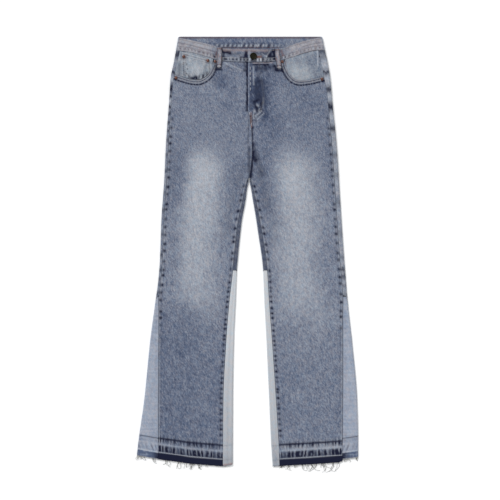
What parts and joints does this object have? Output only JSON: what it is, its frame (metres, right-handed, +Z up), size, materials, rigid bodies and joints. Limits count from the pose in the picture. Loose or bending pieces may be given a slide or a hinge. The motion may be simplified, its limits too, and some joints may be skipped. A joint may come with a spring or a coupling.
{
  "type": "flared jeans",
  "caption": "Washed blue flared jeans laid flat, with light gussets let into the side and inner seams, faded thighs and raw frayed hems.",
  "frame": {"origin": "middle of the footprint, on the surface that the jeans lie on", "axes": "+Y towards the waist, +X towards the wearer's left, +Z up, away from the back of the jeans"},
  "size_m": [0.561, 1.1094, 0.0152],
  "materials": {
    "denim": "washed mid-blue denim twill",
    "denim_facing": "heavily washed grey-blue denim twill",
    "denim_light": "light blue denim twill",
    "canvas_grey": "pale grey cotton twill",
    "frayed_thread": "loose undyed cotton threads",
    "copper": "worn copper rivets",
    "dark_metal": "dark antique metal button"
  },
  "bodies": {
    "root": {"front_panel_left": "denim", "back_panel_left": "denim", "back_yoke_left": "denim", "back_pocket_left": "denim", "pocket_facing_left": "denim_facing", "outer_gusset_left": "denim_light", "inner_gusset_left": "canvas_grey", "fringe_front_left": "frayed_thread", "fringe_back_left": "frayed_thread", "front_panel_right": "denim", "back_panel_right": "denim", "back_yoke_right": "denim", "back_pocket_right": "denim", "pocket_facing_right": "denim_facing", "outer_gusset_right": "denim_light", "inner_gusset_right": "canvas_grey", "fringe_front_right": "frayed_thread", "fringe_back_right": "frayed_thread", "coin_pocket_right": "denim_facing", "waistband": "denim", "belt_loop_front_left": "denim", "belt_loop_front_right": "denim", "belt_loop_back_left": "denim", "belt_loop_back_centre": "denim", "belt_loop_back_right": "denim", "rivet_coin_outer": "copper", "rivet_coin_inner": "copper", "rivet_mouth_outer_right": "copper", "rivet_mouth_inner_right": "copper", "rivet_mouth_outer_left": "copper", "rivet_mouth_inner_left": "copper", "button": "dark_metal"}
  },
  "joints": []
}
